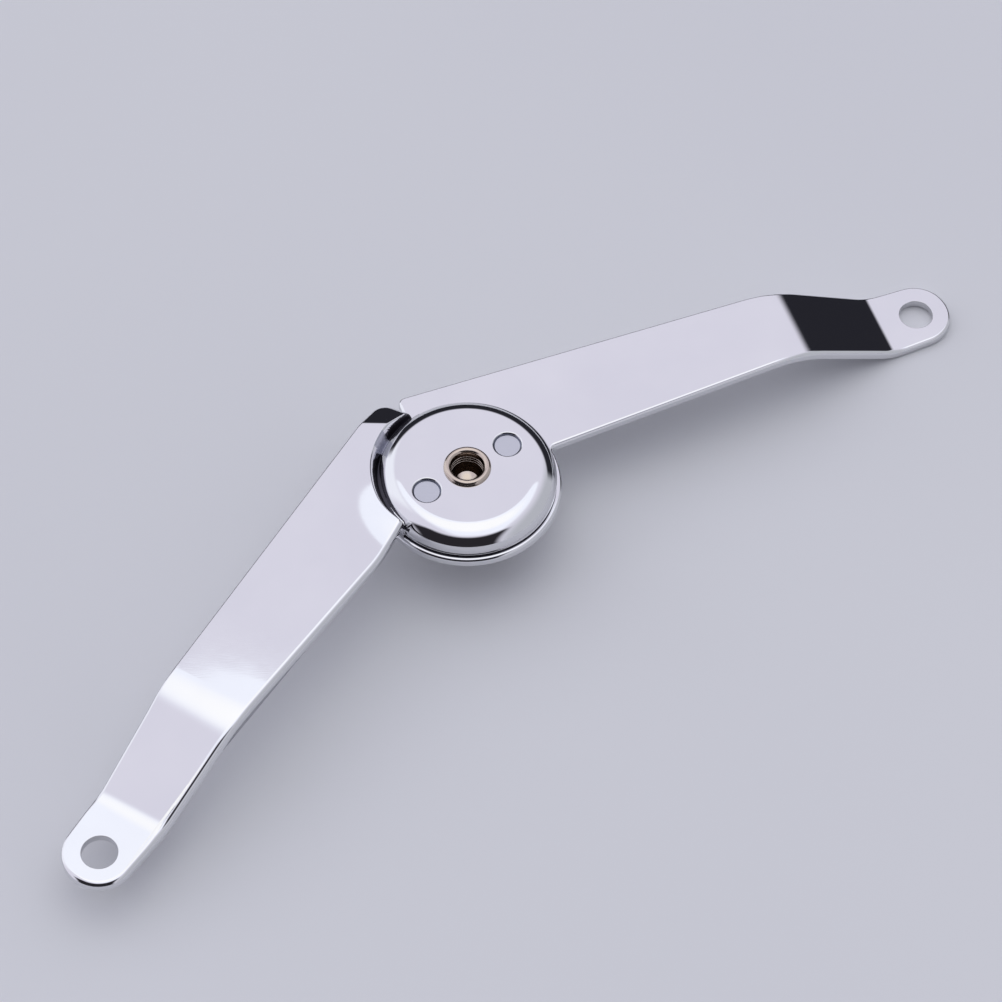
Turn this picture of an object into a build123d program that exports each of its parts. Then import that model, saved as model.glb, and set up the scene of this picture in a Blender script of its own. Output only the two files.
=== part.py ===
# Any-stop lid stay, a kind of cabinet hinge: two pressed steel arms joined by a round friction hub.
# Millimetres. The origin is the fixed arm's screw hole, on the face that lies on the cabinet side.
# +Z runs along the pivot, from that face up to the hub's cap. The stay is drawn open.

from build123d import *
import math
import os

# Both arms
sheet = 2.0                 # gauge of the pressed steel
arm_reach = 117.7           # pivot axis to screw hole, measured along the outer edge
edge_lead = 5.5             # the straight outer edge lies this far outside the fixed arm's disc
inner_lead = 0.96           # the inner edge stops this far short of the pivot axis
taper = 4.6                 # degrees between the outer and the inner edge
square_end = 7.3            # length of the outer edge past the pivot
screw_hole_radius = 3.9
shoulder_bend = 28.0        # top radius where the arm starts to drop
ear_bend = 12.0             # top radius where the arm runs out into the ear
edge_break = 0.45           # chamfer for the blanking roll-over along the show edges

# Fixed arm
fixed_turn = 20.93          # degrees, direction of its outer edge from +X
fixed_drop = 14.0           # from hub level down to the ear
fixed_ear_run = 8.8         # from the screw hole back to the foot of the slope
fixed_slope_run = 25.2      # length of the slope, along the arm
disc_lip = 1.17             # its disc shows this far beyond the cup
fixed_corner = 1.8          # radius of the squared end's corner
disc_corner = 1.0           # radius where the arm's edges run into the disc

# Moving arm
moving_turn = 240.06        # degrees, direction of its outer edge from +X
moving_drop = 9.4
moving_ear_run = 11.5
moving_slope_run = 24.9
end_straight = 0.55         # its pressed-down end stays straight over this height below the bend
moving_corner = 4.0         # radius of that end's corner
corner_overhang = 0.5       # the corner's outline is set this far beyond the pressed end
draw_in = 1.7               # the deep draw pulls the inner edge in by this much beside the cup
draw_in_length = 11.2       # along the inner edge, from the cup's side
draw_in_radius = 30.0

# Drawn cup of the moving arm
cup_radius = 19.83
cup_height = 5.55
cup_shoulder = 4.0          # outside radius of the cup's edge
cup_inner_chamfer = 1.2     # at the hidden inner side of that edge
cup_gap = 0.15              # between the cup's rim and the fixed arm
valley_depth = 3.7          # of the valley between cup and arm
valley_foot = 0.47          # from the cup's side to the valley's floor
valley_margin = 4.5         # from the outer edge to the circle where the valley runs out
valley_top_shift = 13.6     # that circle's centre, from the pivot towards the inner edge
valley_sections = 7

# Half-pierced keys, a recess outside and a pip inside each arm
key_radius = 3.1
key_circle_share = 0.545    # of the cup's radius
key_depth = 0.6
key_angle = 24.06           # degrees from the arm's outer edge
key_clearance = 0.1

# Pivot rivet
shank_radius = 4.4
running_clearance = 0.05
seat_clearance = 0.02
rolled_rim_radius = 5.3
rolled_rim_height = 0.95
rolled_rim_slope = 0.5      # width and height of the slopes on both sides of the rim's crown
bore_mouth_radius = 3.6
bore_floor_radius = 2.45
bore_depth = 5.6            # below the cup's face
bore_cone_start = 3.4       # below the cup's face
head_radius = 7.0
head_height = 1.4
head_chamfer = 0.7
washer_radius = 9.0
washer_thickness = 1.0

# Friction pack inside the hub
plate_thickness = 0.8
plate_play = 0.8            # between the plates' edges and the cup's wall
friction_disc_thickness = 0.5
friction_disc_radius = 11.0
friction_disc_bore = 5.2
spring_radius = 10.0
spring_bore = 5.1
spring_thickness = 0.8
slip_gap = 0.02             # between the spring and the disc that turns over it

# Sizes that follow from the ones above
end_bend = cup_height - end_straight
disc_radius = cup_radius + disc_lip
outer_edge = disc_radius + edge_lead
valley_floor_radius = cup_radius + valley_foot
valley_top_radius = outer_edge - valley_margin + valley_top_shift
draw_in_start = cup_radius + draw_in_length
key_circle = key_circle_share * cup_radius
anchor_plate_radius = cup_radius - sheet - plate_play
drive_plate_radius = anchor_plate_radius - cup_inner_chamfer
fixed_slope_end = arm_reach - fixed_ear_run
fixed_slope_start = fixed_slope_end - fixed_slope_run
moving_slope_end = arm_reach - moving_ear_run
moving_slope_start = moving_slope_end - moving_slope_run

# Levels, from the screw face up
plate_under = fixed_drop
plate_top = plate_under + sheet
cup_rim = plate_top + cup_gap
cap_top = cup_rim + cup_height
cap_under = cap_top - sheet
moving_ear_top = cap_top - moving_drop
anchor_plate_top = plate_top + plate_thickness
drive_plate_under = cap_under - plate_thickness
spring_under = anchor_plate_top + friction_disc_thickness
spring_top = drive_plate_under - friction_disc_thickness - slip_gap
washer_under = plate_under - washer_thickness

# The ear's end is tangent to both edges of the arm and concentric with the screw hole
taper_sin = math.sin(math.radians(taper))
taper_cos = math.cos(math.radians(taper))
hole_offset = (outer_edge + inner_lead + arm_reach * taper_sin) / (1 + taper_cos)
ear_radius = outer_edge - hole_offset
arm_end = arm_reach + ear_radius

# Where the pivot stands when the fixed arm's screw hole is the origin
fixed_sin = math.sin(math.radians(fixed_turn))
fixed_cos = math.cos(math.radians(fixed_turn))
pivot_x = -(arm_reach * fixed_cos - hole_offset * fixed_sin)
pivot_y = -(arm_reach * fixed_sin + hole_offset * fixed_cos)

UP = (Align.CENTER, Align.CENTER, Align.MIN)
past = 1.0                  # cutting bodies run this far past what they cut


def post(radius, low, high):
    """A round post on the pivot axis between two levels."""
    return Pos(0, 0, low) * Cylinder(radius, high - low, align=UP)


def washer(bore, radius, low, high):
    """A flat ring on the pivot axis between two levels."""
    return post(radius, low, high) - post(bore, low - past, high + past)


def turned(points):
    """A body of revolution about the pivot axis from a closed outline of radius and level."""
    outline = make_face(Polyline(*points, close=True))
    return revolve(Plane.XZ * outline, Axis.Z)


def along_inner_edge(distance, aside=0.0):
    """A point on the inner edge, at a distance from the pivot's foot on it."""
    x = distance * taper_cos - (inner_lead + aside) * taper_sin
    y = distance * taper_sin + (inner_lead + aside) * taper_cos
    return (x, y)


def arm_outline(end, pulled_in=False):
    """Plan of an arm, with the pivot at the origin and the outer edge along +X on the +Y side."""
    half = math.radians(taper / 2)
    ear_top = (arm_reach, outer_edge)
    ear_tip = (arm_reach + ear_radius * math.cos(half), hole_offset + ear_radius * math.sin(half))
    ear_foot = (arm_reach + ear_radius * taper_sin, hole_offset - ear_radius * taper_cos)
    inner = [ear_foot, along_inner_edge(0)]
    if pulled_in:
        inner = [ear_foot, along_inner_edge(draw_in_start), along_inner_edge(cup_radius, draw_in)]
        inner.append(along_inner_edge(0, draw_in))
    inner.append((-end, inner[-1][1]))
    inner.append((-end, outer_edge))
    straight = Polyline(*inner)
    top = Line(inner[-1], ear_top)
    tip = ThreePointArc(ear_top, ear_tip, ear_foot)
    return make_face(straight.edges() + top.edges() + tip.edges())


def side_lines(top, drop, slope_start, slope_end, end_drop=0.0):
    """Top and bottom line of the bent sheet as seen from the side, from the hub end to the ear.

    The bottom line is the top line moved square to itself by the gauge, so each bend's corner
    shifts by the gauge times the tangent of half its angle."""
    slope = math.atan2(drop, slope_end - slope_start)
    shift = sheet * math.tan(slope / 2)
    reach = arm_end + past
    upper = [(slope_start, top), (slope_end, top - drop), (reach, top - drop)]
    lower = [(slope_start - shift, top - sheet), (slope_end - shift, top - drop - sheet)]
    lower.append((reach, top - drop - sheet))
    upper_bends = [shoulder_bend, ear_bend]
    lower_bends = [shoulder_bend - sheet, ear_bend + sheet]
    if end_drop:
        upper = [(-square_end, top - end_drop), (-square_end, top)] + upper
        lower = [(sheet - square_end, top - end_drop), (sheet - square_end, top - sheet)] + lower
        upper_bends = [end_bend] + upper_bends
        lower_bends = [end_bend - sheet] + lower_bends
    else:
        start = -2 * disc_radius
        upper = [(start, top)] + upper
        lower = [(start, top - sheet)] + lower
    return FilletPolyline(*upper, radius=upper_bends), FilletPolyline(*lower, radius=lower_bends)


def bent_sheet(upper, lower):
    """The sheet between its two side lines, as wide as any arm."""
    ends = [Line(upper @ 0, lower @ 0), Line(upper @ 1, lower @ 1)]
    section = make_face(upper.edges() + lower.edges() + [line.edge() for line in ends])
    return extrude(Plane.XZ * section, 2 * outer_edge, both=True)


def break_show_edge(arm, level, slope_start):
    """Chamfer the arm's whole upper outline, picked at the middle of its straight outer edge."""
    middle = Vertex(slope_start / 2, outer_edge, level)
    outline = arm.edges().sort_by(lambda edge: edge.distance_to(middle))[0]
    return chamfer(outline, edge_break)


def at_keys(body):
    """Two copies of a body, one at each key."""
    spots = [Rot(0, 0, key_angle + turn) * Pos(key_circle, 0, 0) * body for turn in (0, 180)]
    return spots[0] + spots[1]


def key_post(radius, low, high):
    """A pair of round posts at the keys between two levels."""
    return at_keys(post(radius, low, high))


def screw_hole(top):
    """Cutter for the hole in an arm's ear."""
    hole = Cylinder(screw_hole_radius, sheet + 2 * past)
    return Pos(arm_reach, hole_offset, top - sheet / 2) * hole


def make_fixed_arm():
    """The arm that is screwed to the cabinet: a flat disc, a flat arm and an ear bent down to it."""
    outline = arm_outline(square_end) + Circle(disc_radius)
    corner = outline.vertices().sort_by_distance((-square_end, outer_edge))[0]
    outline = fillet(corner, fixed_corner)
    end_foot = (-square_end, math.sqrt(disc_radius ** 2 - square_end ** 2))
    edge_foot = along_inner_edge(math.sqrt(disc_radius ** 2 - inner_lead ** 2))
    for foot in (end_foot, edge_foot):
        outline = fillet(outline.vertices().sort_by_distance(foot)[0], disc_corner)
    upper, lower = side_lines(plate_top, fixed_drop, fixed_slope_start, fixed_slope_end)
    blank = extrude(outline, plate_top + past)
    arm = bent_sheet(upper, lower) & (Pos(0, 0, -past) * blank)
    arm = break_show_edge(arm, plate_top, fixed_slope_start)
    arm -= post(shank_radius + seat_clearance, plate_under - past, plate_top + past)
    arm -= key_post(key_radius, plate_under - past, plate_under + key_depth)
    arm += key_post(key_radius, plate_top - past / 2, plate_top + key_depth)
    return arm - screw_hole(sheet)


def valley(floor_level, floor_radius, top_level, top_radius, shift):
    """The hollow above the valley that runs round the cup's foot.

    It is a stack of circles from the valley's floor, on the pivot, to the circle where it runs out
    into the arm. Radius and centre change evenly, and the level changes as a parabola, so the
    valley's side meets the arm smoothly and is widest at the inner edge."""
    circles = []
    for step in range(valley_sections):
        share = step / (valley_sections - 1)
        level = top_level - (top_level - floor_level) * (1 - share) ** 2
        radius = floor_radius + (top_radius - floor_radius) * share
        circles.append(Pos(0, -shift * share, level) * Circle(radius))
    return loft(circles)


def pressed_end():
    """Everything under the outer skin of the end that is pressed down, as deep as the cap."""
    far = moving_slope_start / 2
    skin = FilletPolyline(
        (-square_end, cup_rim), (-square_end, cap_top), (far, cap_top), radius=end_bend
    )
    closing = Polyline((far, cap_top), (far, cup_rim), (-square_end, cup_rim))
    section = make_face(skin.edges() + closing.edges())
    return extrude(Plane.XZ * section, 2 * outer_edge, both=True)


def make_moving_arm():
    """The arm that is screwed to the lid: its end is drawn up into the hub's round cap.

    The sheet runs from the ear up to the cap's level, dips into a valley round the cap's foot and
    is pressed down at its end, so that everything bears on one plane above the fixed arm."""
    outline = arm_outline(square_end + corner_overhang, pulled_in=True)
    corner = (-square_end - corner_overhang, outer_edge)
    outline = fillet(outline.vertices().sort_by_distance(corner)[0], moving_corner)
    bend = along_inner_edge(draw_in_start)
    outline = fillet(outline.vertices().sort_by_distance(bend)[0], draw_in_radius)
    blank = Pos(0, 0, -past) * extrude(outline, cap_top + 2 * past)
    upper, lower = side_lines(
        cap_top, moving_drop, moving_slope_start, moving_slope_end, cap_top - cup_rim
    )
    arm = bent_sheet(upper, lower) & blank

    above = valley(
        cap_top - valley_depth, valley_floor_radius, cap_top, valley_top_radius, valley_top_shift
    )
    below = valley(
        cup_rim,
        valley_floor_radius + sheet,
        cap_under,
        valley_top_radius + sheet / 2,
        valley_top_shift,
    )
    arm = arm + (below & pressed_end() & blank) - above
    arm = break_show_edge(arm, cap_top, moving_slope_start)
    cup = post(cup_radius, cup_rim, cap_top)
    cup = fillet(cup.edges().group_by(Axis.Z)[-1], cup_shoulder)
    cavity = post(cup_radius - sheet, cup_rim - past, cap_under)
    cavity = chamfer(cavity.edges().group_by(Axis.Z)[-1], cup_inner_chamfer)
    arm = arm + cup - cavity
    arm -= post(shank_radius + running_clearance, cap_under - past, cap_top + past)
    arm -= key_post(key_radius, cap_top - key_depth, cap_top + past)
    arm += key_post(key_radius, cap_under - key_depth, cap_under + past / 2)
    return arm - screw_hole(moving_ear_top)


def make_pivot_rivet():
    """Semi-tubular rivet: solid head below, and a tube whose mouth is rolled over the cap."""
    seat = cap_top + running_clearance
    crown = cap_top + rolled_rim_height
    rim = rolled_rim_radius - seat_clearance
    slope_foot = crown - rolled_rim_slope
    head_under = washer_under - head_height
    floor = cap_top - bore_depth
    outline = [
        (0, head_under),
        (head_radius - head_chamfer, head_under),
        (head_radius, head_under + head_chamfer),
        (head_radius, washer_under),
        (shank_radius, washer_under),
        (shank_radius, seat),
        (rim, seat),
        (rim, slope_foot),
        (rim - rolled_rim_slope, crown),
        (bore_mouth_radius + rolled_rim_slope, crown),
        (bore_mouth_radius, slope_foot),
        (bore_mouth_radius, cap_top - bore_cone_start),
        (bore_floor_radius, floor),
        (0, floor),
    ]
    return turned(outline)


def make_rivet_washer():
    """Plain washer between the rivet's head and the fixed arm."""
    return washer(shank_radius + seat_clearance, washer_radius, washer_under, plate_under)


def make_anchor_plate():
    """Hardened ring that the fixed arm's pips keep from turning."""
    ring = washer(
        shank_radius + running_clearance, anchor_plate_radius, plate_top, anchor_plate_top
    )
    return ring - key_post(key_radius + key_clearance, plate_top - past, anchor_plate_top + past)


def make_drive_plate():
    """Hardened ring that the moving arm's pips turn."""
    ring = washer(
        shank_radius + running_clearance, drive_plate_radius, drive_plate_under, cap_under
    )
    return ring - key_post(key_radius + key_clearance, drive_plate_under - past, cap_under + past)


def make_disc_spring():
    """Dished spring washer at its loaded height: it bears on its lower outer and upper inner edge."""
    points = [
        (spring_bore, spring_top),
        (spring_radius, spring_under + spring_thickness),
        (spring_radius, spring_under),
        (spring_bore, spring_top - spring_thickness),
    ]
    return turned(points)


fixed_parts = {
    "fixed_arm": make_fixed_arm(),
    "rivet_washer": make_rivet_washer(),
    "anchor_plate": make_anchor_plate(),
}
moving_parts = {
    "moving_arm": make_moving_arm(),
    "drive_plate": make_drive_plate(),
}
round_parts = {
    "pivot_rivet": make_pivot_rivet(),
    "disc_spring": make_disc_spring(),
    "fixed_friction_disc": washer(
        friction_disc_bore, friction_disc_radius, anchor_plate_top, spring_under
    ),
    "moving_friction_disc": washer(
        friction_disc_bore, friction_disc_radius, spring_top + slip_gap, drive_plate_under
    ),
}

# The moving arm is the fixed arm's mirror image in plan
parts = dict(round_parts)
for name, body in fixed_parts.items():
    parts[name] = Rot(0, 0, fixed_turn) * body
for name, body in moving_parts.items():
    parts[name] = Rot(0, 0, moving_turn) * mirror(body, about=Plane.XZ)

os.makedirs("parts", exist_ok=True)
for name, body in parts.items():
    placed = Pos(pivot_x, pivot_y, 0) * body
    export_step(placed, os.path.join("parts", name + ".step"))
    print(name, "volume", round(placed.volume, 1))
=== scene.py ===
# %% [markdown]
# # A chromed lid stay
#
# A lid stay is a kind of cabinet hinge: two pressed steel arms turn on a round friction hub, and each
# arm ends in a cranked ear with a screw hole. The solids come from the CAD model. This lesson dresses
# them: it draws the two arms and the rivet again as smooth surfaces, because bright chrome shows every
# facet, and it gives each piece the finish that it has on the real stay.

# %% The CAD frame
import math
import bpy
import numpy as np
from mathutils import Matrix, Vector
from mathutils.geometry import delaunay_2d_cdt


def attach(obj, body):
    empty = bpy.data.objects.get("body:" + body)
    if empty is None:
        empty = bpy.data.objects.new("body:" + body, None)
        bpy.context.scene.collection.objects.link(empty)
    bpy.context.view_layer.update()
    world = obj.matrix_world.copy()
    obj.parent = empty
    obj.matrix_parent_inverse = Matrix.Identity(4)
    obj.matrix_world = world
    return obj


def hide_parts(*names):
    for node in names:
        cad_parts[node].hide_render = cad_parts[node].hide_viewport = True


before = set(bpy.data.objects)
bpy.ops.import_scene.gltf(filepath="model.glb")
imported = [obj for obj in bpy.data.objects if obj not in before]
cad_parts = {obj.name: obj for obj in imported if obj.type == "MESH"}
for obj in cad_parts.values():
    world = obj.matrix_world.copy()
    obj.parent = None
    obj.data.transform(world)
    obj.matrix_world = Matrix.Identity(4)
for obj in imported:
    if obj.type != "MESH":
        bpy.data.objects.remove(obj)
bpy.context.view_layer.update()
print("CAD nodes:", ", ".join(sorted(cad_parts)))

# %% [markdown]
# ## Sizes
#
# The sizes are the ones of the CAD source, in millimetres. They are turned to metres once, when a mesh
# is made. Each arm has a plan frame of its own: the pivot is at the origin and the straight outer edge
# runs along +X at a distance on the +Y side.

# %% Sizes in millimetres
SHEET = 2.0
ARM_REACH, OUTER_EDGE, INNER_LEAD, TAPER = 117.7, 26.5, 0.96, math.radians(4.6)
SQUARE_END, SCREW_HOLE = 7.3, 3.9
FIXED_CRANK = (14.0, 83.7, 108.9)  # drop, and where the slope starts and ends along the arm
MOVING_CRANK = (9.4, 81.3, 106.2)
DISC_RADIUS, CUP_RADIUS, SHOULDER_WIDE, SHOULDER_HIGH = 21.0, 19.83, 5.5, 4.0
PLATE_TOP, CUP_RIM, CAP_TOP = 16.0, 16.15, 21.7
FIXED_TURN, MOVING_TURN = math.radians(20.93), math.radians(240.06)
PIVOT = np.array([-103.3325, -59.3058, 0.0])
GROOVE_FLOOR, GROOVE_TOP, GROOVE_DEPTH = 19.6, 20.6, 3.1
LIP_START, LIP_WIDE, LIP_RISE = 29.5, 6.9, 0.42
DRAW_IN, DRAW_IN_LENGTH, DRAW_IN_BEND = 1.7, 11.2, 30.0
KEY_RADIUS, KEY_CIRCLE, KEY_DEPTH, KEY_ANGLE = 3.1, 10.8, 0.6, math.radians(24.06)
SHANK, RIM_RADIUS, RIM_CROWN, BORE = 4.4, 5.28, 22.65, 3.6

HOLE_OFFSET = (OUTER_EDGE + INNER_LEAD + ARM_REACH * math.sin(TAPER)) / (1 + math.cos(TAPER))
EAR_RADIUS = OUTER_EDGE - HOLE_OFFSET
print("screw hole", round(HOLE_OFFSET, 2), "mm beside the pivot line, ear radius", round(EAR_RADIUS, 2))

# %% [markdown]
# ## Paths
#
# Every outline here is made of straight legs and round bends. A path is an array with one row for each
# point: two coordinates, and the direction that looks out of the material there. That direction lies on
# the left of the way the path is walked, so a path is walked with the material on its right.


# %% Legs and bends of a path
def leg(start, end, step):
    """Straight run: the points are start + t * (end - start), with t evenly from 0 to 1."""
    start, end = np.array(start, float), np.array(end, float)
    way = end - start
    count = max(2, int(np.ceil(np.hypot(*way) / step)) + 1)
    spots = start + np.linspace(0, 1, count)[:, None] * way
    left = np.array([-way[1], way[0]]) / np.hypot(*way)
    return np.hstack([spots, np.tile(left, (count, 1))])


def oval(centre, wide, high, first, last, step=6.0):
    """Run on an ellipse: centre + (wide cos a, high sin a), with a from first to last in degrees.

    It faces along (cos a / wide, sin a / high)."""
    count = max(2, int(np.ceil(abs(last - first) / step)) + 1)
    angle = np.radians(np.linspace(first, last, count))
    ray = np.stack([np.cos(angle), np.sin(angle)], 1)
    square = ray / [wide, high]
    square /= np.linalg.norm(square, axis=1, keepdims=True)
    side = 1.0 if last < first else -1.0
    return np.hstack([np.array(centre, float) + ray * [wide, high], side * square])


def bend(centre, radius, first, last, step=6.0):
    """Round run about the centre, from the first angle to the last one."""
    return oval(centre, radius, radius, first, last, step)


def path(*runs):
    """Runs one after another. Where two runs meet, each keeps its own outward direction."""
    return np.vstack(runs)


# %% [markdown]
# ## Shells
#
# A shell is three arrays: points, the direction that each point's surface faces, and triangles. The
# directions are worked out from the formula and not from the triangles. Chrome mirrors along them, so
# the reflection stays smooth even where the triangles are coarse.


# %% Shells from a path turned round an axis
def strip_triangles(rows, columns, closed):
    """Two triangles for each cell of a grid with rows x columns points, joined round if closed."""
    row, column = np.meshgrid(np.arange(rows - 1), np.arange(columns if closed else columns - 1))
    a = (row * columns + column).ravel()
    b = (row * columns + (column + 1) % columns).ravel()
    return np.vstack([np.stack([a, b, b + columns], 1), np.stack([a, b + columns, a + columns], 1)])


def turned(profile, sides=160, centre=(0.0, 0.0)):
    """Body of revolution: (r, z) goes to (r cos a, r sin a, z), and so does the outward direction."""
    angle = np.linspace(0, 2 * np.pi, sides, endpoint=False)
    ray = np.stack([np.cos(angle), np.sin(angle)], 1)
    radius, level, out, up = profile.T
    points = np.empty((len(profile), sides, 3))
    faces = np.empty_like(points)
    points[..., :2] = radius[:, None, None] * ray + np.array(centre)
    points[..., 2] = level[:, None]
    faces[..., :2] = out[:, None, None] * ray
    faces[..., 2] = up[:, None]
    triangles = strip_triangles(len(profile), sides, True)
    return points.reshape(-1, 3), faces.reshape(-1, 3), triangles


def together(*shells):
    """One shell from several, with the triangle numbers moved on."""
    starts = np.cumsum([0] + [len(s[0]) for s in shells[:-1]])
    triangles = np.vstack([s[2] + start for s, start in zip(shells, starts)])
    return np.vstack([s[0] for s in shells]), np.vstack([s[1] for s in shells]), triangles


# %% [markdown]
# ## From shell to mesh
#
# Points that share a place are welded, so the mesh is closed, but each triangle's corner keeps its own
# direction. A crease is then sharp and a bend is smooth in one and the same mesh. Blender calls these
# custom normals.


# %% Weld a shell and make it a piece of the stay
def make_piece(name, shell, body, nodes, material):
    """Points move from the plan frame to the stay by adding the pivot, and from mm to metres."""
    points, facing, triangles = shell
    facing = facing / np.linalg.norm(facing, axis=1, keepdims=True)
    _, first, same = np.unique(np.round(points, 4), axis=0, return_index=True, return_inverse=True)
    welded = same.ravel()[triangles]
    whole = (np.diff(np.sort(welded, axis=1), axis=1) > 0).all(axis=1)
    welded, corners = welded[whole], triangles[whole]
    spots = points[first]
    flat = np.cross(spots[welded[:, 1]] - spots[welded[:, 0]], spots[welded[:, 2]] - spots[welded[:, 0]])
    turn = (flat * facing[corners].sum(axis=1)).sum(axis=1) < 0
    welded[turn] = welded[turn][:, ::-1]
    corners[turn] = corners[turn][:, ::-1]
    mesh = bpy.data.meshes.new(name)
    mesh.from_pydata(((spots + PIVOT) * 0.001).tolist(), [], welded.tolist())
    mesh.polygons.foreach_set("use_smooth", np.ones(len(welded), bool))
    mesh.normals_split_custom_set(facing[corners].reshape(-1, 3).tolist())
    mesh.materials.append(material)
    piece = bpy.data.objects.new(name, mesh)
    bpy.context.scene.collection.objects.link(piece)
    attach(piece, body)
    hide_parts(*nodes)
    print(name, len(welded), "triangles")
    return piece


def refinish(piece, materials, number):
    """Further finishes: number gives 0, 1, 2 ... for a triangle's middle, in mm from the pivot."""
    middles = np.empty(3 * len(piece.data.polygons))
    piece.data.polygons.foreach_get("center", middles)
    marked = number(*(middles.reshape(-1, 3) * 1000 - PIVOT).T)
    for material in materials:
        piece.data.materials.append(material)
    piece.data.polygons.foreach_set("material_index", marked.astype(np.int32))
    print(piece.name, np.bincount(marked).tolist(), "triangles by finish")


def placed(shell, turn, mirrored):
    """From an arm's plan frame to the stay: y changes sign if mirrored, then all turns by the angle."""
    points, facing, triangles = shell
    flip = np.array([1.0, -1.0 if mirrored else 1.0, 1.0])
    c, s = math.cos(turn), math.sin(turn)
    matrix = np.array([[c, s, 0.0], [-s, c, 0.0], [0.0, 0.0, 1.0]])
    return (points * flip) @ matrix, (facing * flip) @ matrix, triangles


# %% [markdown]
# ## Materials
#
# Chrome on steel is a metal mirror with a faint violet cast. What makes it look real is that it isn't
# perfect: the pressed sheet under it is never quite flat, so reflections swim a little, and handling
# leaves hairlines and a slight haze. The punched floors of the keys are chrome on rough steel and stay
# dull. The dark line round each key and the dark band in the groove round the hub and under the cup's
# rim are painted shade. The same few nodes, with other numbers, make these faces too, the nickel of the
# rivet, the zinc of the hidden rings and the blued spring.


# %% Colour and node helpers
def srgb(hex_code):
    """Hex sRGB to linear: c / 12.92 below 0.04045, else ((c + 0.055) / 1.055) ** 2.4."""
    c = np.array([int(hex_code[i : i + 2], 16) for i in (1, 3, 5)]) / 255
    linear = np.where(c <= 0.04045, c / 12.92, ((c + 0.055) / 1.055) ** 2.4)
    return (*linear.tolist(), 1.0)


def node(tree, kind, inputs=None, **settings):
    """Adds a node. Inputs go by name or number, as a value or as the socket to link from.

    Settings are the node's own properties, and stops are the (place, hex colour) pairs of a ramp."""
    made = tree.nodes.new(kind)
    for name, value in settings.items():
        if name == "stops":
            elements = made.color_ramp.elements
            for place, _ in value[2:]:
                elements.new(place)
            for element, (place, colour) in zip(elements, value):
                element.position, element.color = place, srgb(colour)
        else:
            setattr(made, name, value)
    for name, value in (inputs or {}).items():
        if isinstance(value, bpy.types.NodeSocket):
            tree.links.new(value, made.inputs[name])
        else:
            made.inputs[name].default_value = value
    return made


def new_material(name):
    """An empty node material, its tree and the object coordinates in metres."""
    material = bpy.data.materials.new(name)
    material.use_nodes = True
    tree = material.node_tree
    tree.nodes.clear()
    print("material", name)
    return material, tree, node(tree, "ShaderNodeTexCoord").outputs["Object"]


def plated_metal(name, dark, light, polish, haze, swim, hairline):
    """Metal whose tone, gloss and surface change slightly from place to place.

    The swim is noise with waves of about 9 mm, as on pressed sheet. The hairlines are noise drawn out
    20 times along one direction, about 0.15 mm wide. Both go to the bump, and the second one to the
    gloss too."""
    material, tree, place = new_material(name)
    cloud = node(tree, "ShaderNodeTexNoise", {"Vector": place, "Scale": 45.0, "Detail": 3.0})
    tone = node(
        tree, "ShaderNodeValToRGB", {"Fac": cloud.outputs["Fac"]}, stops=[(0.35, dark), (0.65, light)]
    )
    drawn = node(
        tree,
        "ShaderNodeMapping",
        {"Vector": place, "Rotation": (0.0, 0.0, 0.7), "Scale": (1.0, 20.0, 1.0)},
    )
    scratch = node(
        tree, "ShaderNodeTexNoise", {"Vector": drawn.outputs["Vector"], "Scale": 330.0, "Detail": 4.0}
    ).outputs["Fac"]
    gloss = node(
        tree,
        "ShaderNodeMapRange",
        {"Value": scratch, "From Min": 0.3, "From Max": 0.75, "To Min": polish, "To Max": haze},
    )
    waves = node(tree, "ShaderNodeTexNoise", {"Vector": place, "Scale": 110.0, "Detail": 1.0})
    swell = node(
        tree, "ShaderNodeBump", {"Height": waves.outputs["Fac"], "Strength": swim, "Distance": 0.001}
    )
    fine = node(
        tree,
        "ShaderNodeBump",
        {"Height": scratch, "Normal": swell.outputs["Normal"], "Strength": hairline, "Distance": 0.0001},
    )
    shader = node(
        tree,
        "ShaderNodeBsdfPrincipled",
        {
            "Metallic": 1.0,
            "Base Color": tone.outputs["Color"],
            "Roughness": gloss.outputs["Result"],
            "Normal": fine.outputs["Normal"],
        },
    )
    node(tree, "ShaderNodeOutputMaterial", {"Surface": shader.outputs["BSDF"]})
    return material


# %% The metals
# Polished and plated: a clear mirror with a faint violet cast, in which the room keeps its edges.
chrome = plated_metal("bright chrome on pressed steel", "#DEDEE1", "#E2E2E4", 0.03, 0.07, 0.005, 0.012)
# The punch squeezes the steel here and the wheel passes over it: even light grey, without images.
# The same light grey is also painted as a lighter break in the groove's painted shade.
punched = plated_metal("chrome over a punched face", "#B9BAC4", "#C2C3CC", 0.3, 0.4, 0.012, 0.05)
# Painted shade: a dark grey line round each key, on its wall.
key_wall_shade = plated_metal("chrome with painted shade on a key wall", "#5F6270", "#757887", 0.25, 0.4, 0.012, 0.1)
# Painted shade: nearly black chrome in the groove round the hub and under the cup's rim, beside the
# mirror.
groove_shade = plated_metal(
    "chrome with painted shade in the groove", "#3C3B42", "#55535B", 0.3, 0.45, 0.02, 0.1
)
# Dark brown on the bore's cone and wall, with a soft shine on the turning marks.
bore_wall = plated_metal("dark brown turned bore", "#4A3B33", "#66564A", 0.2, 0.35, 0.01, 0.1)
# Nickel is yellower than chrome and the riveting punch dulls it: a warm, slightly soft mirror.
nickel = plated_metal("nickel plated turned steel", "#BDB0A6", "#CFC2B6", 0.09, 0.2, 0.01, 0.08)
# Barrel plated and never polished: bluish grey with a satin shine.
zinc = plated_metal("zinc plated stamped steel", "#A9ADB3", "#C3C6CB", 0.24, 0.4, 0.05, 0.2)
# Hardened, then tempered in oil: dark blue-grey with a soft shine.
blued = plated_metal("blued spring steel", "#3A4048", "#565B64", 0.25, 0.4, 0.04, 0.2)


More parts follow.
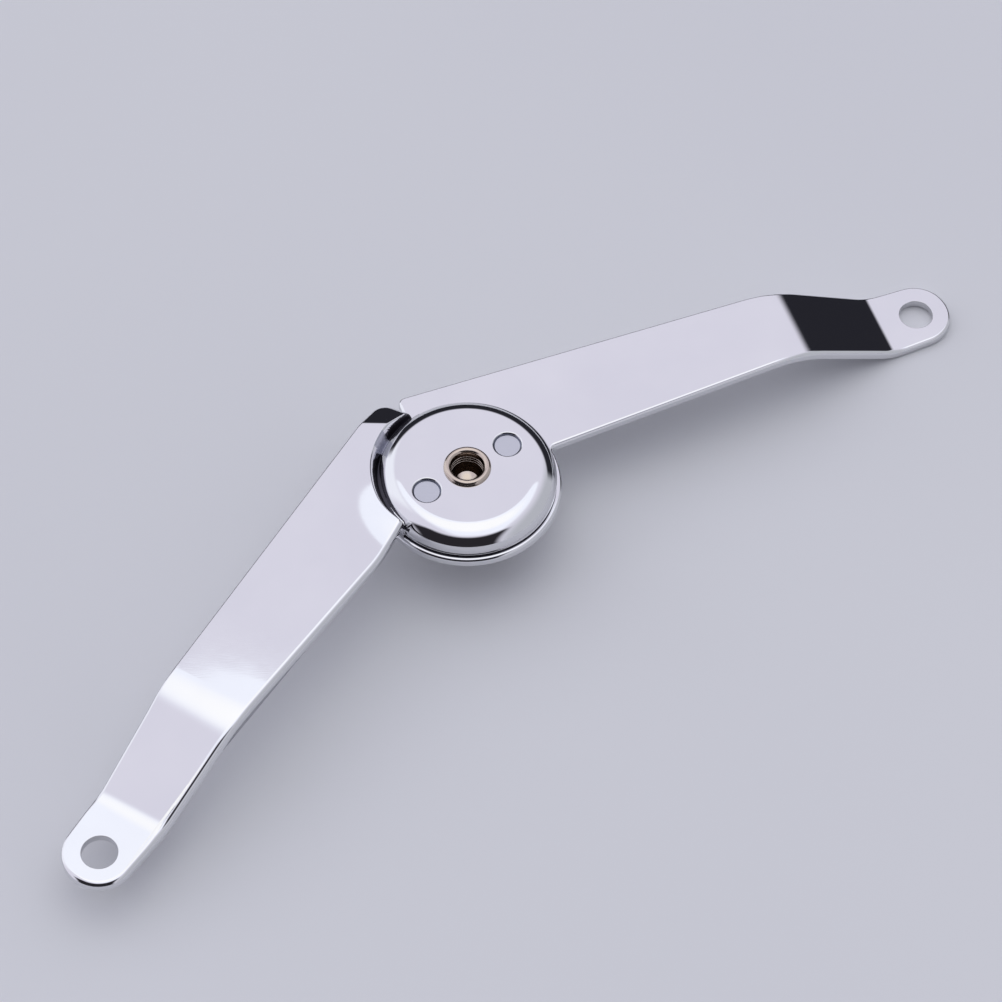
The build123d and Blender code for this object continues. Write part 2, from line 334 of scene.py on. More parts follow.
# %% Natural acetal for the friction discs
def moulded_acetal():
    """Milky plastic, turned or moulded: a fine grain of about 0.4 mm under a waxy gloss."""
    material, tree, place = new_material("natural acetal, moulded")
    grain = node(
        tree, "ShaderNodeTexNoise", {"Vector": place, "Scale": 2500.0, "Detail": 2.0}
    ).outputs["Fac"]
    tone = node(tree, "ShaderNodeValToRGB", {"Fac": grain}, stops=[(0.3, "#D8D5C8"), (0.7, "#E6E4DA")])
    bump = node(tree, "ShaderNodeBump", {"Height": grain, "Strength": 0.15, "Distance": 0.0001})
    shader = node(
        tree,
        "ShaderNodeBsdfPrincipled",
        {
            "Base Color": tone.outputs["Color"],
            "Roughness": 0.42,
            "IOR": 1.48,
            "Normal": bump.outputs["Normal"],
        },
    )
    node(tree, "ShaderNodeOutputMaterial", {"Surface": shader.outputs["BSDF"]})
    return material


acetal = moulded_acetal()

# %% [markdown]
# ## A sheet as a height over its plan
#
# A pressed arm starts as a flat blank and the press moves each spot of it up or down. The same is done
# here. The blank is a plan outline filled with triangles, and a function of (x, y) says how high the
# sheet's show side lies over each spot and where it faces. The lower side lies one gauge below.


# %% The side line of a cranked arm
def side_line(x, top, drop, slope_start, slope_end):
    """Level along an arm: flat, a shoulder of 28 mm, a straight slope, a foot of 12 mm, and flat again.

    On a round part the sine of the slope grows evenly with x, and the level changes by the radius times
    1 - cosine."""
    slope = math.atan2(drop, slope_end - slope_start)
    shoulder, foot = 28.0, 12.0
    start = slope_start - shoulder * math.tan(slope / 2)
    end = slope_end + foot * math.tan(slope / 2)
    sine_down = np.clip((x - start) / shoulder, 0, math.sin(slope))
    sine_out = np.clip((end - x) / foot, 0, math.sin(slope))
    past_bend = np.clip(x - start - shoulder * math.sin(slope), 0, None)
    before_bend = np.clip(end - foot * math.sin(slope) - x, 0, None)
    upper = top - shoulder * (1 - np.sqrt(1 - sine_down**2)) - past_bend * math.tan(slope)
    lower = top - drop + foot * (1 - np.sqrt(1 - sine_out**2)) + before_bend * math.tan(slope)
    return np.where(x < (slope_start + slope_end) / 2, upper, lower)


def square_to(level, x, y):
    """Direction square to the surface z = level(x, y), from its change over 0.02 mm both ways."""
    reach = 0.01
    change_x = (level(x + reach, y) - level(x - reach, y)) / (2 * reach)
    change_y = (level(x, y + reach) - level(x, y - reach)) / (2 * reach)
    facing = np.stack([-change_x, -change_y, np.ones_like(x)], 1)
    return facing / np.linalg.norm(facing, axis=1, keepdims=True)


def one_gauge_down(level, x, y):
    """The lower side of the sheet, one gauge from the show side measured square to it."""
    facing = square_to(level, x, y)
    return level(x, y) - SHEET / facing[:, 2], -facing


# %% Level of the fixed arm
def fixed_level(x, y):
    """Show side of the fixed arm, the same for every y."""
    return side_line(x, PLATE_TOP, *FIXED_CRANK)


def below_fixed(x, y):
    """Lower side of the fixed arm."""
    return one_gauge_down(fixed_level, x, y)


# %% [markdown]
# ## The drawn end
#
# The moving arm is the difficult piece. Its end is drawn up into a round cup. The draw lifts the sheet
# round the cup by some 0.7 mm and leaves a steep groove at the cup's foot, a little narrower at the
# inner edge. The square end of the arm is bent down across the corner, away from the viewer. Groove and
# bent end are depths below the same sheet. They are added as a power sum, which follows the deeper one
# and rounds the ridge between them.


# %% Level of the moving arm
def smooth_step(value, nothing, full):
    """0 up to one value, 1 from the other, and t * t * (3 - 2 t) between them."""
    t = np.clip((value - nothing) / (full - nothing), 0, 1)
    return t * t * (3 - 2 * t)


def moving_level(x, y):
    """Show side of the moving arm: side line plus lip, less groove and bent end.

    With q as the way in from where the lip starts, in lip widths, the lip is its rise times q^2.3, and
    it fades before the square end. The end is a bend of 6 mm and then a straight slope of 21 degrees,
    square to a direction 30 degrees off the arm. The crank's bend starts early near the inner edge."""
    away, angle = np.maximum(np.hypot(x, y), 1e-6), np.degrees(np.arctan2(y, x))
    q = np.maximum((LIP_START - away) / LIP_WIDE, 0)
    lip = LIP_RISE * q**2.3 * smooth_step(angle, 76.0, 50.0)
    top = GROOVE_TOP + 0.9 * smooth_step(angle, 8.0, 38.0)
    groove = GROOVE_DEPTH * smooth_step(away, top, GROOVE_FLOOR)
    end_bend, end_slope, end_start, end_turn = 6.0, math.radians(21), 10.2, math.radians(30)
    into = y * math.sin(end_turn) - x * math.cos(end_turn) - end_start
    sine = np.clip(into / end_bend, 0, math.sin(end_slope))
    straight = np.maximum(into - end_bend * math.sin(end_slope), 0)
    end = end_bend * (1 - np.sqrt(1 - sine**2)) + straight * math.tan(end_slope)
    deeper = (groove**4 + end**4) ** 0.25
    early_drop, arm_width = 0.25, 25
    early = early_drop * np.clip((OUTER_EDGE - y) / arm_width, 0, 1) ** 2 * smooth_step(x, 69, 79)
    return side_line(x, CAP_TOP, *MOVING_CRANK) + lip - deeper - early


def below_moving(x, y):
    """Lower side of the moving arm. As far as the hub reaches it stays above the cup's rim."""
    hub_end = 60
    under, facing = one_gauge_down(moving_level, x, y)
    clear = (under > CUP_RIM) | (x > hub_end)
    return np.where(clear, under, CUP_RIM), np.where(clear[:, None], facing, [0.0, 0.0, -1.0])


# %% [markdown]
# ## The edge of a sheet
#
# A punch rolls the show edge over before it cuts, so a pressed part's upper edge is soft and its lower
# edge is nearly sharp. The edge is a short section carried along the outline: a quarter round, the cut
# wall, and a very small quarter round below. Its last points on each side are where the flat fill of
# the sheet starts.


# %% Edge strip and fill of a sheet
UNDER_ROLL = 0.15


def sheet_edge(outline, roll, level, below, closed=True):
    """Section carried along the outline.

    In the show side's quarter round with radius r the inset is r (1 - cos a) and the drop r (1 - sin a),
    with a from 90 to 0 degrees; the lower quarter round is the same the other way up."""
    spots, out = outline[:, :2], outline[:, 2:]
    sideways = np.hstack([out, np.zeros((len(out), 1))])
    points, facing = [], []
    for a in np.radians(np.linspace(90, 0, 10)):
        plan = spots - out * (roll * (1 - math.cos(a)))[:, None]
        points.append(np.column_stack([plan, level(*plan.T) - roll * (1 - math.sin(a))]))
        facing.append(math.cos(a) * sideways + math.sin(a) * square_to(level, *plan.T))
    for a in np.radians([0, 30, 60, 90]):
        plan = spots - out * UNDER_ROLL * (1 - math.cos(a))
        under, face = below(*plan.T)
        points.append(np.column_stack([plan, under + UNDER_ROLL * (1 - math.sin(a))]))
        facing.append(math.cos(a) * sideways + math.sin(a) * face)
    return np.vstack(points), np.vstack(facing), strip_triangles(len(points), len(outline), closed)


def filled(loops, extra):
    """Plan triangles inside the first loop and outside the others, through the extra points too.

    A triangle is inside if a ray to the right of its middle crosses an odd number of loop edges."""
    plan = np.vstack([*loops, extra])
    starts = np.cumsum([0] + [len(loop) for loop in loops])
    rounds = [start + np.arange(len(loop)) for start, loop in zip(starts, loops)]
    edges = np.vstack([np.stack([r, np.roll(r, -1)], 1) for r in rounds])
    result = delaunay_2d_cdt([Vector(p) for p in plan], edges.tolist(), [], 0, 1e-6, True)
    source = np.array([numbers[0] for numbers in result[3]])
    triangles = source[np.array(result[2])]
    x, y = plan[triangles].mean(axis=1).T[:, :, None]
    x1, y1, x2, y2 = np.hstack([plan[edges[:, 0]], plan[edges[:, 1]]]).T
    spans = (y1 > y) != (y2 > y)
    at = x1 + (x2 - x1) * (y - y1) / np.where(spans, y2 - y1, 1.0)
    return plan, triangles[(spans & (x < at)).sum(axis=1) % 2 == 1]


def show_face(loops, extra, level):
    """The show side of a sheet inside its edge strips."""
    plan, triangles = filled(loops, extra)
    return np.column_stack([plan, level(*plan.T)]), square_to(level, *plan.T), triangles


def lower_face(loops, extra, below):
    """The lower side of a sheet inside its edge strips."""
    plan, triangles = filled(loops, extra)
    level, facing = below(*plan.T)
    return np.column_stack([plan, level]), facing, triangles


# %% [markdown]
# ## Outlines of the arms
#
# Both arms have the same plan: a straight outer edge, a slightly tapered inner edge, and an ear whose
# end is round about the screw hole. The fixed arm runs into a flat disc. The moving arm's inner edge is
# pulled in beside the cup, because the deep draw takes sheet from there.


# %% Outline of the arms
def inner_edge(distance, aside=0.0):
    """A spot on the inner edge: along it by the distance, and out of it by the lead and aside."""
    s, c = math.sin(TAPER), math.cos(TAPER)
    lead = INNER_LEAD + aside
    return (distance * c - lead * s, distance * s + lead * c)


def ear_and_edges(inner_start):
    """Outer edge from above the pivot to the ear, round the ear, and back along the inner edge."""
    foot = -90 + math.degrees(TAPER)
    tangent = (
        ARM_REACH + EAR_RADIUS * math.sin(TAPER),
        HOLE_OFFSET - EAR_RADIUS * math.cos(TAPER),
    )
    return path(
        leg((0, OUTER_EDGE), (ARM_REACH, OUTER_EDGE), 0.8),
        bend((ARM_REACH, HOLE_OFFSET), EAR_RADIUS, 90, foot, 4.0),
        leg(tangent, inner_start, 0.8),
    )


def single(outline):
    """Drops points that repeat their neighbour, so that a loop has no edge without length."""
    step = np.hypot(*(outline[:, :2] - np.roll(outline[:, :2], 1, axis=0)).T)
    return outline[step > 1e-6]


def hole(centre, radius, step=5.0):
    """Closed round outline whose material lies outside it."""
    return single(bend(centre, radius, 0, 360, step))


def ring(centre, radius, sides):
    """The plan points that a turned shell has at this radius."""
    angle = np.linspace(0, 2 * np.pi, sides, endpoint=False)
    return np.array(centre) + radius * np.stack([np.cos(angle), np.sin(angle)], 1)


def inset(outline, distance):
    """The outline moved into the material, by one distance or by one for each point."""
    return outline[:, :2] - outline[:, 2:] * np.reshape(distance, (-1, 1))


def field(low_x, high_x, step_x, step_y):
    """Evenly spaced plan points over a stretch of the arm."""
    x, y = np.meshgrid(np.arange(low_x, high_x, step_x), np.arange(-24.0, OUTER_EDGE, step_y))
    return np.stack([x.ravel(), y.ravel()], 1)


def clear_of(points, outline, room):
    """The points on the material side of an outline and at least the room away from it."""
    gap = points[:, None] - outline[None, :, :2]
    nearest = np.argmin((gap**2).sum(-1), axis=1)
    from_edge = gap[np.arange(len(points)), nearest]
    return points[-(from_edge * outline[nearest, 2:]).sum(axis=1) > room]


# %% [markdown]
# ## The keys
#
# Two half-pierced keys in each arm hold the hardened rings of the friction pack. The punch goes only
# part of the way: a round recess shows outside, and a pip stands out on the inside.


# %% Keys
KEY_EDGE = 0.35
first_key = KEY_CIRCLE * np.array([math.cos(KEY_ANGLE), math.sin(KEY_ANGLE)])
key_spots = [first_key, -first_key]


def recess(centre, face, look):
    """Floor, small fillet, wall and rolled rim of a key, turned about the key's own axis.

    look is 1 for a recess in an upper face and -1 for one in a lower face."""
    floor, small, taper = -KEY_DEPTH, 0.12, 0.2
    profile = path(
        leg((0, floor), (KEY_RADIUS - taper - small, floor), 2.0),
        bend((KEY_RADIUS - taper - small, floor + small), small, -90, 0, 30),
        leg((KEY_RADIUS - taper, floor + small), (KEY_RADIUS, -KEY_EDGE), 0.5),
        bend((KEY_RADIUS + KEY_EDGE, -KEY_EDGE), KEY_EDGE, 180, 90, 15),
    )
    points, facing, triangles = turned(profile, 72, centre)
    return points * [1, 1, look] + [0, 0, face], facing * [1, 1, look], triangles


def pip(centre, face, look):
    """Low round post that the key pushes out of the other face."""
    profile = path(
        leg((0, KEY_DEPTH), (KEY_RADIUS, KEY_DEPTH), 2.0),
        leg((KEY_RADIUS, KEY_DEPTH), (KEY_RADIUS, -KEY_DEPTH), 2.0),
    )
    points, facing, triangles = turned(profile, 72, centre)
    return points * [1, 1, look] + [0, 0, face], facing * [1, 1, look], triangles


print("keys at", [np.round(spot, 2).tolist() for spot in key_spots])

# %% [markdown]
# ## The fixed arm
#
# Its flat disc lies under the hub, so only the disc's lip shows beside the cup. Everything else of it
# is flat sheet, a crank and an ear.


# %% Fixed arm
OUTER_ROLL, HOLE_ROLL = 0.45, 0.12
ear_hole = hole((ARM_REACH, HOLE_OFFSET), SCREW_HOLE)


def edge_roll(outline, inner, extra):
    """Radius of the show edge: small along the outer edge, inner along the rest, more on the slope."""
    x, aside = outline[:, 0], outline[:, 3]
    slope = (np.abs(aside) > 0.5) * smooth_step(x, 80, 88) * smooth_step(x, 112, 104)
    return inner + extra * slope - (inner - OUTER_ROLL) * smooth_step(aside, 0, 1)


def fixed_outline():
    """Outer edge, ear, inner edge, disc and square end.

    A fillet of radius r between the disc and a line has its centre r from the line and R + r from the
    pivot."""
    r, corner = 1.0, 1.8
    reach = math.sqrt((DISC_RADIUS + r) ** 2 - (INNER_LEAD - r) ** 2)
    side = np.array(inner_edge(reach, -r))
    side_angle = math.degrees(math.atan2(side[1], side[0]))
    end = np.array([-SQUARE_END - r, math.sqrt((DISC_RADIUS + r) ** 2 - (SQUARE_END + r) ** 2)])
    end_angle = math.degrees(math.atan2(end[1], end[0]))
    return single(
        path(
            leg((corner - SQUARE_END, OUTER_EDGE), (0, OUTER_EDGE), 0.8),
            ear_and_edges(inner_edge(reach)),
            bend(side, r, 90 + math.degrees(TAPER), 180 + side_angle, 15),
            bend((0, 0), DISC_RADIUS, side_angle, end_angle - 360, 1.5),
            bend(end, r, end_angle - 180, 0, 15),
            leg((-SQUARE_END, end[1]), (-SQUARE_END, OUTER_EDGE - corner), 0.8),
            bend((corner - SQUARE_END, OUTER_EDGE - corner), corner, 180, 90, 10),
        )
    )


def fixed_arm():
    """Edge strips, show side and lower side, and the keys."""
    outline = fixed_outline()
    pivot_hole = hole((0, 0), SHANK + 0.02)
    extra = np.vstack([field(-20, 72, 4, 4), field(72, 118, 0.8, 2.5)])
    extra = clear_of(clear_of(extra, outline, 2.0), ear_hole, 0.8)
    roll = edge_roll(outline, 0.8, 0.2)
    above = [inset(outline, roll), inset(pivot_hole, HOLE_ROLL), inset(ear_hole, HOLE_ROLL)]
    under = [inset(edge, UNDER_ROLL) for edge in (outline, pivot_hole, ear_hole)]
    under += [ring(spot, KEY_RADIUS + KEY_EDGE, 72) for spot in key_spots]
    lower_level = PLATE_TOP - SHEET
    return together(
        sheet_edge(outline, roll, fixed_level, below_fixed),
        sheet_edge(pivot_hole, np.full(len(pivot_hole), HOLE_ROLL), fixed_level, below_fixed),
        sheet_edge(ear_hole, np.full(len(ear_hole), HOLE_ROLL), fixed_level, below_fixed),
        show_face(above, extra, fixed_level),
        lower_face(under, extra, below_fixed),
        *[recess(spot, lower_level, -1) for spot in key_spots],
        *[pip(spot, PLATE_TOP, 1) for spot in key_spots],
    )


make_piece(
    "fixed_arm_chromed",
    placed(fixed_arm(), FIXED_TURN, False),
    "fixed_side",
    ["fixed_arm"],
    chrome,
)

# %% [markdown]
# ## The moving arm
#
# The sheet and the cup are worked out one by one. The groove's floor runs in under the cup's shoulder
# and ends inside the cup's wall, where nobody sees it.


# %% Moving arm's outline
def moving_outline():
    """Pressed-down end, outer edge, ear, and the inner edge with its draw-in beside the cup.

    The outline is open: both of its ends lie inside the cup's wall."""
    corner = 4.0
    meet = np.array(inner_edge(CUP_RADIUS + DRAW_IN_LENGTH))
    near = np.array(inner_edge(CUP_RADIUS, DRAW_IN))
    arrive = np.array([-math.cos(TAPER), -math.sin(TAPER)])
    leave = (near - meet) / np.hypot(*(near - meet))
    turn = math.acos(float(arrive @ leave))
    cut = DRAW_IN_BEND * math.tan(turn / 2)
    first, last = meet - arrive * cut, meet + leave * cut
    angle = -90 + math.degrees(TAPER)
    centre = first - DRAW_IN_BEND * np.array([math.sin(TAPER), -math.cos(TAPER)])
    return single(
        path(
            leg((-SQUARE_END, 18.0), (-SQUARE_END, OUTER_EDGE - corner), 0.4),
            bend((corner - SQUARE_END, OUTER_EDGE - corner), corner, 180, 90, 5),
            leg((corner - SQUARE_END, OUTER_EDGE), (0, OUTER_EDGE), 0.4),
            ear_and_edges(first),
            bend(centre, DRAW_IN_BEND, angle, angle - math.degrees(turn), 1),
            leg(last, near, 0.4),
            leg(near, inner_edge(18.6, DRAW_IN), 0.4),
        )
    )


def cut_by_cup(loop, radius):
    """The part of an open loop outside a circle about the pivot, closed along that circle."""
    loop = loop[np.hypot(*loop.T) > radius]
    first, last = [math.atan2(spot[1], spot[0]) for spot in (loop[0], loop[-1])]
    angle = np.linspace(last, first, 90)
    return np.vstack([loop, radius * np.stack([np.cos(angle), np.sin(angle)], 1)])


# %% Moving arm's cup
def cup():
    """Shoulder, wall, rim, cavity and cap of the cup, turned about the pivot, with its flat top."""
    flat, spring_line = CUP_RADIUS - SHOULDER_WIDE, CAP_TOP - SHOULDER_HIGH
    inside, hole_radius = CUP_RADIUS - SHEET, SHANK + 0.05
    rim, hollow = 0.5, SHOULDER_HIGH - SHEET
    profile = path(
        oval((flat, spring_line), SHOULDER_WIDE, SHOULDER_HIGH, 90, 0, 5),
        leg((CUP_RADIUS, spring_line), (CUP_RADIUS, CUP_RIM + rim), 1.0),
        bend((CUP_RADIUS - rim, CUP_RIM + rim), rim, 0, -90, 15),
        leg((CUP_RADIUS - rim, CUP_RIM), (inside, CUP_RIM), 2.0),
        leg((inside, CUP_RIM), (inside, spring_line), 2.0),
        bend((inside - hollow, spring_line), hollow, 0, 90, 15),
        leg((inside - hollow, CAP_TOP - SHEET), (hole_radius, CAP_TOP - SHEET), 12.0),
        leg((hole_radius, CAP_TOP - SHEET), (hole_radius, CAP_TOP), 2.0),
    )
    loops = [ring((0, 0), flat, 200), ring((0, 0), hole_radius, 200)]
    loops += [ring(spot, KEY_RADIUS + KEY_EDGE, 72) for spot in key_spots]
    plan, triangles = filled(loops, np.zeros((0, 2)))
    flat_top = np.column_stack([plan, np.full(len(plan), CAP_TOP)])
    return together(
        turned(profile, 200),
        (flat_top, np.tile([0.0, 0.0, 1.0], (len(plan), 1)), triangles),
        *[recess(spot, CAP_TOP, 1) for spot in key_spots],
        *[pip(spot, CAP_TOP - SHEET, -1) for spot in key_spots],
    )


# %% Moving arm
def moving_arm():
    """Edge strips, show side with the groove, lower side, and the cup."""
    outline = moving_outline()
    roll = edge_roll(outline, 1.3, 0.5)
    # Rings of plan points, closest where the groove's side is steep.
    radii = [np.linspace(18.5, 19.3, 4), np.linspace(19.4, 22.0, 27), np.linspace(22.3, LIP_START, 14)]
    near = np.vstack([ring((0, 0), radius, 500) for radius in np.concatenate(radii)])
    extra = np.vstack([near, field(-7, 3, 0.5, 2), field(30, 72, 4, 4), field(72, 118, 0.8, 2.5)])
    hidden = 18.3
    extra = extra[np.hypot(*extra.T) > hidden + 0.1]
    extra = clear_of(extra, ear_hole, 0.8)
    inner = np.column_stack([inset(outline, roll), outline[:, 2:]])
    above = [cut_by_cup(inset(outline, roll), hidden), inset(ear_hole, HOLE_ROLL)]
    under = [cut_by_cup(inset(outline, UNDER_ROLL), hidden), inset(ear_hole, UNDER_ROLL)]
    return together(
        sheet_edge(outline, roll, moving_level, below_moving, closed=False),
        sheet_edge(ear_hole, np.full(len(ear_hole), HOLE_ROLL), moving_level, below_moving),
        show_face(above, clear_of(extra, inner, 0.25), moving_level),
        lower_face(under, clear_of(extra, outline, 0.5), below_moving),
        cup(),
    )


arm = make_piece(
    "moving_arm_chromed",
    placed(moving_arm(), MOVING_TURN, True),
    "moving_side",
    ["moving_arm"],
    chrome,
)


def arm_finish(x, y, z):
    """1 on the keys' walls, 2 on their floors, 3 in the groove and under the rim, and 0 elsewhere.

    1 and 3 are painted shade. Angles are in degrees from +X, and away is the distance from the pivot.
    The band of painted shade is wide at the left of the hub and behind it, and ends in a thin line at
    the arm's inner edge. For 6 degrees to both sides of 159 the shade breaks: that stretch is painted
    lighter, with the light grey of the keys' floors."""
    away, angle = np.hypot(x, y), np.degrees(np.arctan2(y, x)) % 360
    key = (np.abs(away - KEY_CIRCLE) < KEY_RADIUS) & (z > CAP_TOP - 1)
    # Painted shade: a band in the groove round the hub and under the cup's rim.
    wide = smooth_step(angle, 229, 200) * smooth_step(angle, 163, 176) + smooth_step(angle, 158, 145)
    band = (away > 19.4 - 0.4 * wide) & (away < 19.9 + 0.8 * wide) & (z > CAP_TOP - 3.2)
    band &= (angle > 125) & (angle < 231)
    band |= (away > CUP_RADIUS - 0.6) & (away < CUP_RADIUS + 0.05) & (z < CUP_RIM + 0.35)
    # A painted lighter patch where the groove's painted shade breaks, near 159 degrees.
    painted_light_break = (np.abs(angle - 159) < 6) & (away > 19.2) & (away < 21.4) & (z > CAP_TOP - 4.0)
    # The keys' walls get painted shade (1), their floors the punched finish (2).
    number = key * ((z < CAP_TOP - 0.2) * 1 + (z < CAP_TOP - KEY_DEPTH + 0.01)) + 3 * band
    return np.where(painted_light_break, 2, number)


# The keys' walls and the groove band get painted shade, the keys' floors the punched finish.
refinish(arm, [key_wall_shade, punched, groove_shade], arm_finish)

# %% [markdown]
# ## The rivet
#
# A semi-tubular rivet is solid below, with a flat head, and a tube above. A star-shaped punch rolls the
# tube's mouth outwards over the cap, which leaves a round rim, and the bore keeps a few turning marks.


# %% Pivot rivet
DRILL_TIP = 2.45


def pivot_rivet():
    """Profile of radius and level, walked from the bore's floor over the rim and down to the head."""
    seat, cone, floor = 21.75, CAP_TOP - 3.4, CAP_TOP - 5.6
    washer_under, head_under, head_radius, head_edge = 13.0, 11.6, 7.0, 0.9
    dish, mark = 5.5, 0.16
    width, height = (RIM_RADIUS - BORE) / 2, RIM_CROWN - seat
    marks = []
    low = cone
    for depth in (2.7, 1.9, 1.1):
        level = CAP_TOP - depth
        marks += [leg((BORE, low), (BORE, level - mark), 1.0), bend((BORE, level), mark, -90, 90, 30)]
        low = level + mark
    profile = path(
        bend((0, floor + dish), dish, -90, math.degrees(math.asin(DRILL_TIP / dish)) - 90, 2),
        leg((DRILL_TIP, floor + dish - math.sqrt(dish**2 - DRILL_TIP**2)), (BORE, cone), 0.6),
        *marks,
        leg((BORE, low), (BORE, seat), 1.0),
        oval((BORE + width, seat), width, height, 180, 0, 11),
        leg((RIM_RADIUS, seat), (SHANK, seat), 1.0),
        leg((SHANK, seat), (SHANK, washer_under), 10.0),
        leg((SHANK, washer_under), (head_radius, washer_under), 3.0),
        leg((head_radius, washer_under), (head_radius, head_under + head_edge), 1.0),
        bend((head_radius - head_edge, head_under + head_edge), head_edge, 0, -90, 10),
        leg((head_radius - head_edge, head_under), (0, head_under), 7.0),
    )
    return turned(profile, 120)


def rivet_finish(x, y, z):
    """1 on the bore's cone and wall, and 0 elsewhere."""
    away = np.hypot(x, y)
    return (away > DRILL_TIP) * (away < BORE + 0.05) * (z > 15) * (z < CAP_TOP) * 1


rivet = make_piece(
    "pivot_rivet_rolled",
    pivot_rivet(),
    "fixed_side",
    ["pivot_rivet"],
    nickel,
)
refinish(rivet, [bore_wall], rivet_finish)

# %% [markdown]
# ## The pieces that stay as the CAD made them
#
# The washer and the friction pack are hidden or half hidden, and their CAD meshes are right as they
# are. They only get their finish.

# %% Finishes of the CAD nodes
finishes = {
    "rivet_washer": zinc,
    "anchor_plate": zinc,
    "drive_plate": zinc,
    "disc_spring": blued,
    "fixed_friction_disc": acetal,
    "moving_friction_disc": acetal,
}
for name, material in finishes.items():
    for material_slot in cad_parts[name].material_slots:
        material_slot.material = material
    print(name, "is", material.name)

# %% [markdown]
# ## Floor
#
# The stay lies on pale matt board. The fixed arm's ear would touch it, so the board lies a hair lower.


# %% Floor
def pale_floor():
    """Flat square of 8 m under the lowest ear."""
    half, level = 4.0, -0.0002
    mesh = bpy.data.meshes.new("floor")
    corners = [(-half, -half, level), (half, -half, level), (half, half, level), (-half, half, level)]
    mesh.from_pydata(corners, [], [(0, 1, 2, 3)])
    material, tree, place = new_material("pale matt board")
    cloud = node(tree, "ShaderNodeTexNoise", {"Vector": place, "Scale": 3.0, "Detail": 2.0})
    tone = node(
        tree,
        "ShaderNodeValToRGB",
        {"Fac": cloud.outputs["Fac"]},
        stops=[(0.3, "#E4E5E9"), (0.7, "#E8E9EC")],
    )
    shader = node(
        tree, "ShaderNodeBsdfPrincipled", {"Base Color": tone.outputs["Color"], "Roughness": 0.8}
    )
    node(tree, "ShaderNodeOutputMaterial", {"Surface": shader.outputs["BSDF"]})
    mesh.materials.append(material)
    floor = bpy.data.objects.new("floor", mesh)
    bpy.context.scene.collection.objects.link(floor)
    return floor


print(pale_floor().name, "laid")

# %% [markdown]
# ## Light
#
# Chrome has no colour of its own, so the room makes the picture. The room here is painted on the world.
# An even pale ceiling gives the flat sheet its tone. A softbox overhead, with a sharp edge towards the
# back, turns the bends and the front of the hub's shoulder white. It is dark low at the back, and in
# front, where the camera stands, and these two draw the dark lines without which chrome looks like
# grey paint.


# %% Patches of the room
def patch(tree, edges):
    """Strength of a soft-edged patch: the product of one smooth step for each (value, from 0, to 1)."""
    strength = None
    for value, nothing, full in edges:
        step = node(
            tree,
            "ShaderNodeMapRange",
            {"Value": value, "From Min": nothing, "From Max": full},
            interpolation_type="SMOOTHSTEP",
        ).outputs["Result"]
        if strength is None:
            strength = step
        else:
            both = node(tree, "ShaderNodeMath", {0: strength, 1: step}, operation="MULTIPLY")
            strength = both.outputs[0]
    return strength


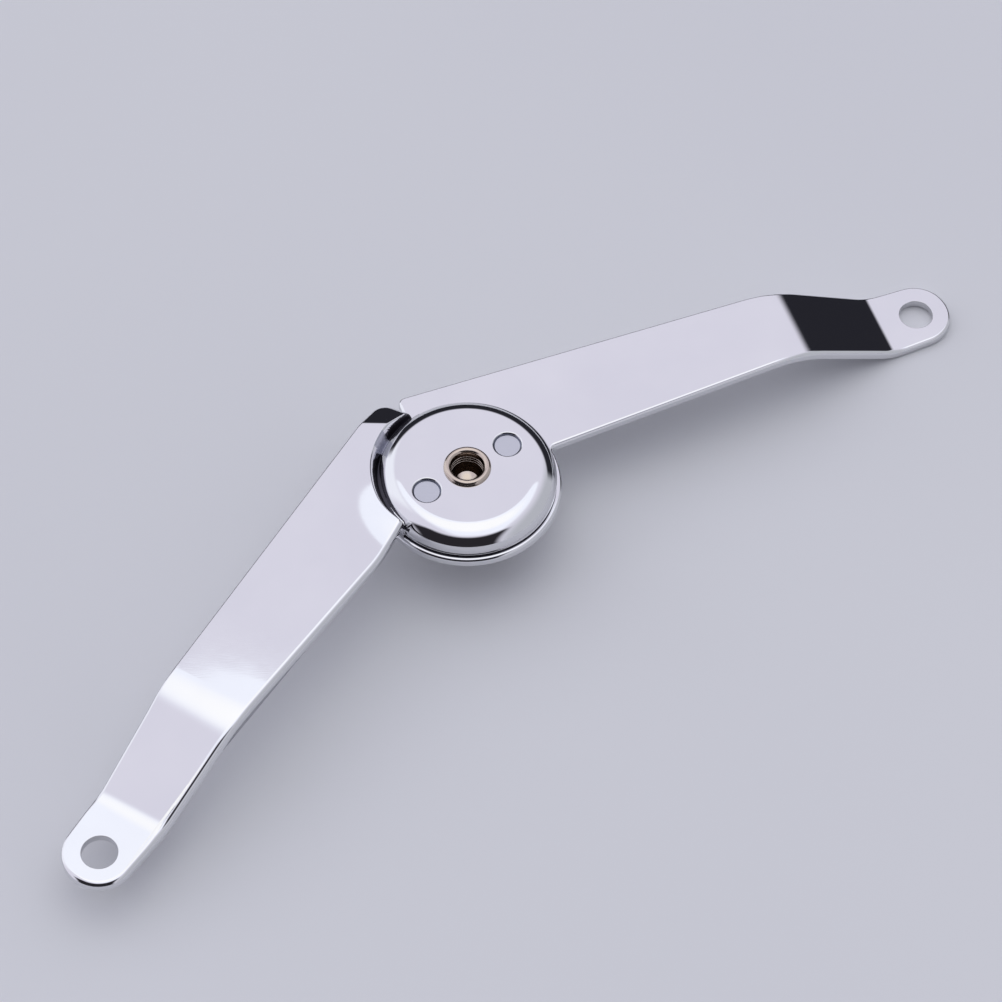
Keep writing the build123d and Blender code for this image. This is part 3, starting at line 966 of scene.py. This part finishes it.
# %% The room
def studio():
    """Layers of light over the direction (x, y, z) that is looked in: +y is the back and +z is up.

    The softbox lies on a level plane overhead, where a direction meets it at (x / z, y / z)."""
    world = bpy.data.worlds.new("studio")
    bpy.context.scene.world = world
    world.use_nodes = True
    tree = world.node_tree
    tree.nodes.clear()
    look = node(tree, "ShaderNodeTexCoord").outputs["Generated"]
    x, y, z = node(tree, "ShaderNodeSeparateXYZ", {"Vector": look}).outputs
    height = node(tree, "ShaderNodeMath", {0: z, 1: 0.05}, operation="MAXIMUM").outputs[0]
    across = node(tree, "ShaderNodeMath", {0: x, 1: height}, operation="DIVIDE").outputs[0]
    along = node(tree, "ShaderNodeMath", {0: y, 1: height}, operation="DIVIDE").outputs[0]
    slant = node(
        tree, "ShaderNodeMath", {0: along, 1: 0.3, 2: across}, operation="MULTIPLY_ADD"
    ).outputs[0]
    backward = node(
        tree, "ShaderNodeVectorMath", {0: look, 1: (0.14, 0.99, 0.0)}, operation="DOT_PRODUCT"
    ).outputs["Value"]
    to_core = node(
        tree, "ShaderNodeVectorMath", {0: look, 1: (0.02, 0.18, 0.984)}, operation="DOT_PRODUCT"
    ).outputs["Value"]
    softbox_sides = [(slant, -0.4, -0.2), (across, 0.6, 0.4)]
    softbox_ends = [(along, 0.622, 0.612), (along, -0.6, -0.3)]
    dark_front_sides = [(x, -0.85, -0.7), (x, 0.62, 0.46)]
    layers = [
        ("#F2F0FE", 1.0, []),  # ceiling and walls
        ("#C8CAD2", 1.0, [(x, 0.42, 0.8)]),  # grey wall on the right
        ("#F4F6FF", 1.2, [(x, -0.33, -0.5), (y, 0.05, 0.3)]),  # white card on the left
        ("#F2F5FF", 1.3, softbox_sides + softbox_ends),
        ("#FFFFFF", 1.3, [(to_core, 0.93, 0.985), (along, 0.6, 0.5)]),  # the softbox's bright middle
        ("#2A2A31", 1.0, [(z, 0.52, 0.4), (backward, 0.56, 0.68)]),  # dark at the back
        ("#2D2B30", 1.0, [(y, -0.22, -0.36), *dark_front_sides, (z, 0.9, 0.8)]),  # dark in front
    ]
    light = None
    for colour, strength, edges in layers:
        glow = node(
            tree, "ShaderNodeBackground", {"Color": srgb(colour), "Strength": strength}
        ).outputs[0]
        if light is None:
            light = glow
        else:
            mixed = node(tree, "ShaderNodeMixShader", {0: patch(tree, edges), 1: light, 2: glow})
            light = mixed.outputs[0]
    node(tree, "ShaderNodeOutputWorld", {"Surface": light})
    return len(layers)


print("room of", studio(), "layers")

# %% [markdown]
# ## Camera
#
# The camera stands where the photograph's did: 55.5 degrees above the horizon, 845 mm from the cap, with
# a long lens and a slight roll. All of its numbers come from fitting the outlines of the CAD model to
# the photograph's.


# %% Camera
def photo_camera():
    """Right, up and forward axes from elevation and roll; the place from the distances along them."""
    elevation, roll = math.radians(55.506), math.radians(-0.985)
    aside, above, distance = -7.41, 7.43, 845.1
    focal_length, picture = 3846, 1002  # in pixels
    forward = np.array([0.0, math.cos(elevation), -math.sin(elevation)])
    level = np.array([1.0, 0.0, 0.0])
    rise = np.array([0.0, math.sin(elevation), math.cos(elevation)])
    right = math.cos(roll) * level - math.sin(roll) * rise
    up = math.sin(roll) * level + math.cos(roll) * rise
    spot = -aside * right - above * up - distance * forward + PIVOT + [0.0, 0.0, CAP_TOP]
    data = bpy.data.cameras.new("camera")
    data.sensor_width, data.lens = 36.0, 36.0 * focal_length / picture
    data.clip_start, data.clip_end = 0.01, 50.0
    camera = bpy.data.objects.new("camera", data)
    bpy.context.scene.collection.objects.link(camera)
    rows = np.column_stack([right, up, -forward, spot * 0.001])
    camera.matrix_world = Matrix([*rows.tolist(), [0.0, 0.0, 0.0, 1.0]])
    bpy.context.scene.camera = camera
    return camera


print("camera at", [round(v, 3) for v in photo_camera().matrix_world.translation])

# %% [markdown]
# ## Close the scene
#
# The view transform is the plain one, so that a colour looks as it is written.

# %% View transform and the end
bpy.context.scene.view_settings.view_transform = "Standard"
bpy.context.view_layer.update()
